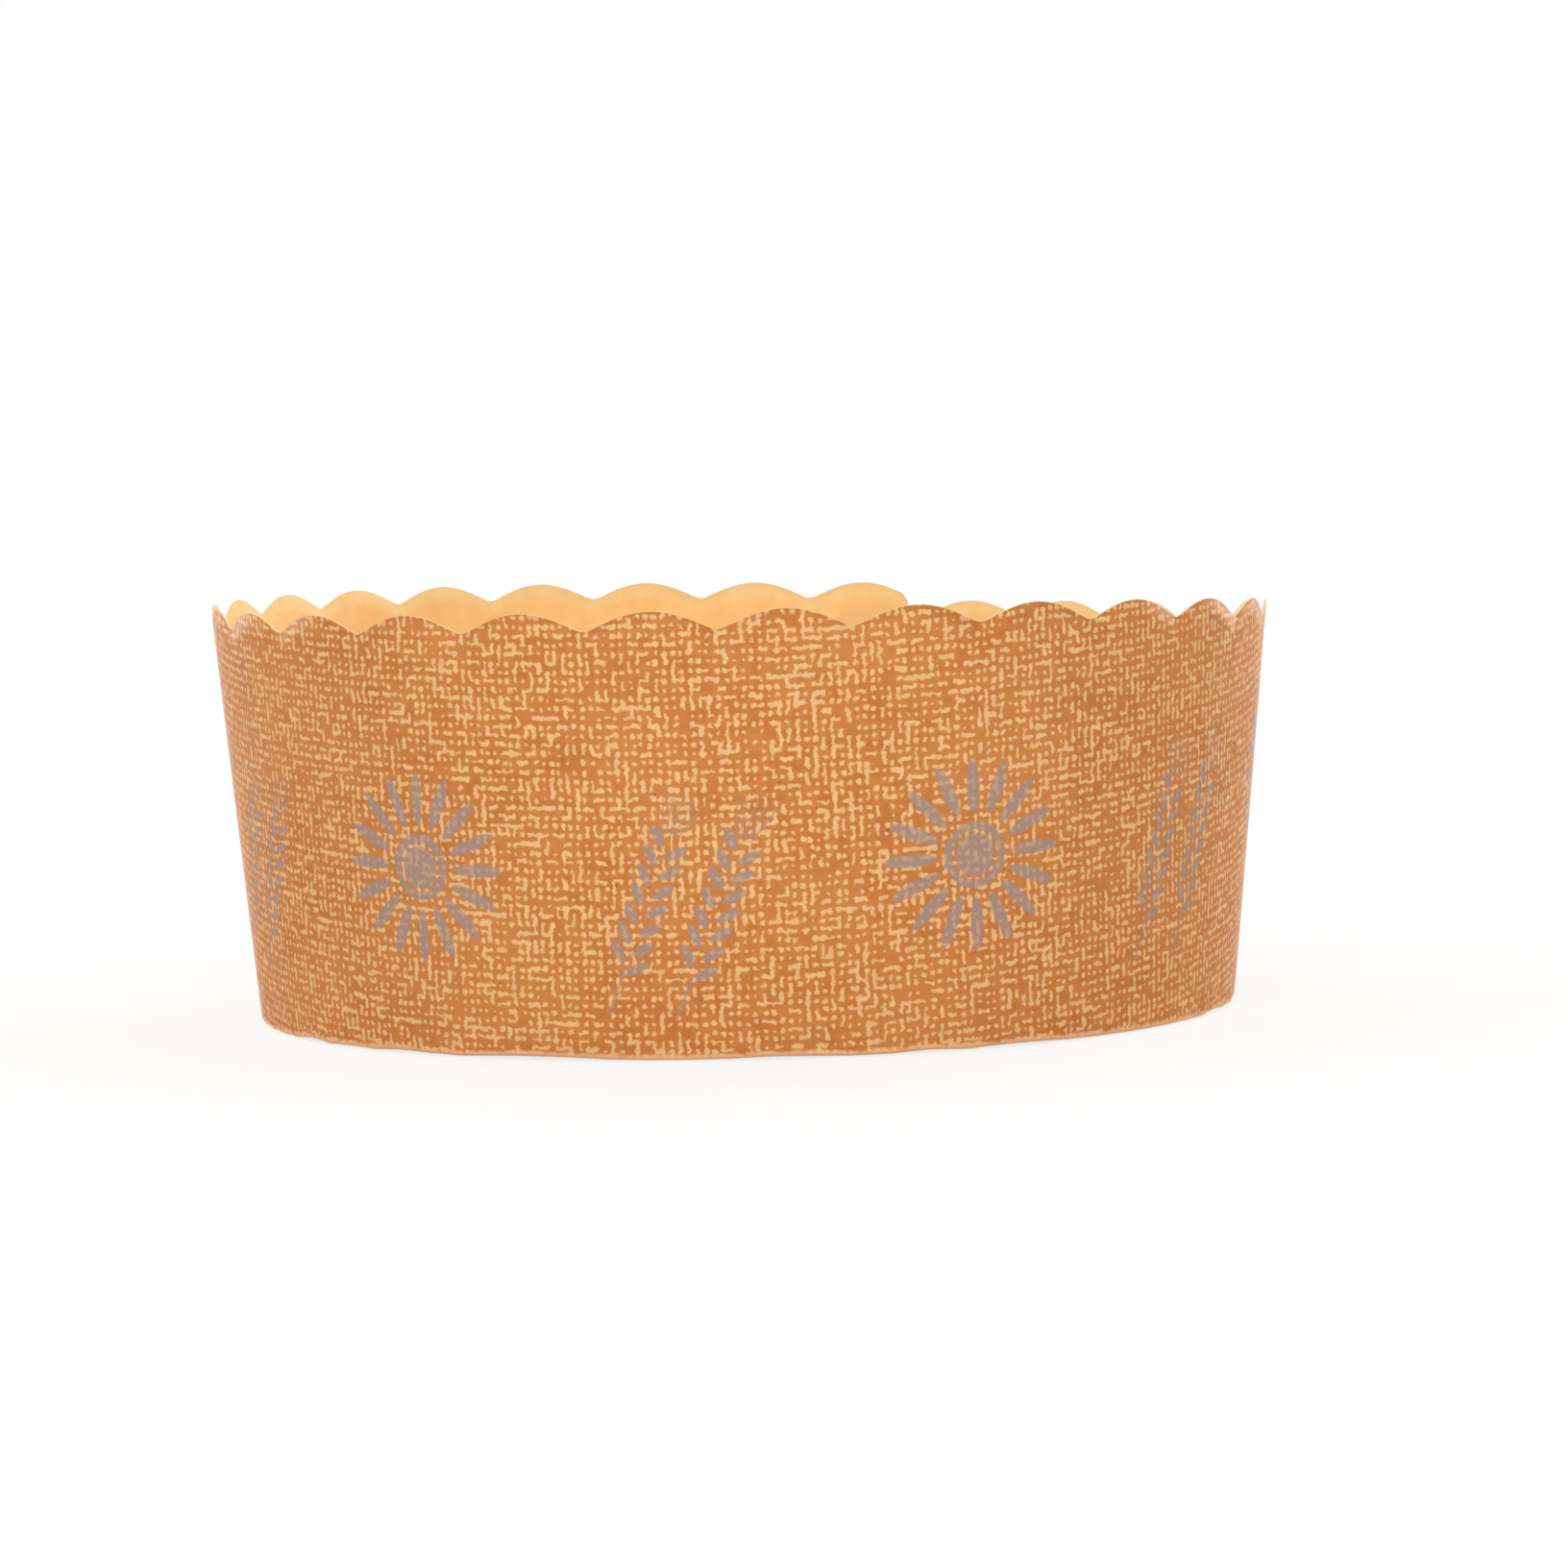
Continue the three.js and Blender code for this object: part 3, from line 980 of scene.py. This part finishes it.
def add_area_light(name, place, size, power, tint):
    """A square soft light that faces the cup's middle."""
    light = bpy.data.lights.new(name, "AREA")
    light.shape = "SQUARE"
    light.size = size
    light.energy = power
    light.color = tint
    lamp = add_object(name, light)
    lamp.location = place
    target = Vector((0.0, 0.0, 0.5 * WALL_HIGH[2]))
    lamp.rotation_euler = (target - Vector(place)).to_track_quat("-Z", "Y").to_euler()


def build_camera(studio):
    """A long lens just above the rim, turned by yaw, pitch and roll about its own place."""
    data = bpy.data.cameras.new("Camera")
    data.sensor_width = SENSOR_WIDTH
    data.lens = studio.focal_pixels / IMAGE_WIDTH * SENSOR_WIDTH
    data.clip_start = 0.01
    data.clip_end = 20.0
    yaw, pitch, roll = studio.camera_yaw, studio.camera_pitch, studio.camera_roll
    forward = Vector((math.sin(yaw) * math.cos(pitch), math.cos(yaw) * math.cos(pitch), -math.sin(pitch)))
    level = Vector((math.cos(yaw), -math.sin(yaw), 0.0))
    upright = level.cross(forward)
    right = level * math.cos(roll) + upright * math.sin(roll)
    top = upright * math.cos(roll) - level * math.sin(roll)
    turn = Matrix((right, top, -forward)).transposed()
    place = Matrix.Translation((0.0, -studio.camera_distance, studio.camera_height))
    camera = add_object("Camera", data)
    camera.matrix_world = place @ turn.to_4x4()
    bpy.context.scene.camera = camera


# Operators and panel

class MakeWall(bpy.types.Operator):
    """Make the printed wall with its scalloped rim, lap and pleated hem"""
    bl_idname = "baking_cup.make_wall"
    bl_label = "Make wall"

    def execute(self, context):
        piece = build_wall_mesh(context.scene.cup_shape, context.scene.cup_print)
        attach(piece, "root")
        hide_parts("wall")
        return {"FINISHED"}


class MakeBottom(bpy.types.Operator):
    """Make the plain paper bottom that lies on the hem"""
    bl_idname = "baking_cup.make_bottom"
    bl_label = "Make bottom"

    def execute(self, context):
        piece = build_bottom_mesh(context.scene.cup_shape, context.scene.cup_print)
        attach(piece, "root")
        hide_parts("base_disc")
        return {"FINISHED"}


class MakeStudio(bpy.types.Operator):
    """Make the pale floor, the surroundings, the lights and the camera"""
    bl_idname = "baking_cup.make_studio"
    bl_label = "Make studio"

    def execute(self, context):
        studio = context.scene.cup_studio
        context.scene.view_settings.view_transform = "Standard"
        build_floor()
        build_world(studio)
        for name, power, place, size, tint in AREA_LIGHTS:
            add_area_light(name, place, size, getattr(studio, power), tint)
        build_camera(studio)
        return {"FINISHED"}


class BakingCupPanel(bpy.types.Panel):
    """Buttons and settings for the cup"""
    bl_idname = "VIEW3D_PT_baking_cup"
    bl_label = "Paper Baking Cup"
    bl_space_type = "VIEW_3D"
    bl_region_type = "UI"
    bl_category = "Baking Cup"

    def draw(self, context):
        for operator in (MakeWall, MakeBottom, MakeStudio):
            self.layout.operator(operator.bl_idname)
        for settings in (context.scene.cup_shape, context.scene.cup_print, context.scene.cup_studio):
            box = self.layout.box()
            for name in settings.__annotations__:
                box.prop(settings, name)


CLASSES = (CupShape, CupPrint, CupStudio, MakeWall, MakeBottom, MakeStudio, BakingCupPanel)


def register():
    for cls in CLASSES:
        bpy.utils.register_class(cls)
    bpy.types.Scene.cup_shape = bpy.props.PointerProperty(type=CupShape)
    bpy.types.Scene.cup_print = bpy.props.PointerProperty(type=CupPrint)
    bpy.types.Scene.cup_studio = bpy.props.PointerProperty(type=CupStudio)


def unregister():
    del bpy.types.Scene.cup_shape
    del bpy.types.Scene.cup_print
    del bpy.types.Scene.cup_studio
    for cls in reversed(CLASSES):
        bpy.utils.unregister_class(cls)


def main():
    """Make the cup and its studio."""
    register()
    bpy.ops.baking_cup.make_studio()
    bpy.ops.baking_cup.make_wall()
    bpy.ops.baking_cup.make_bottom()


if __name__ == "__main__":
    main()
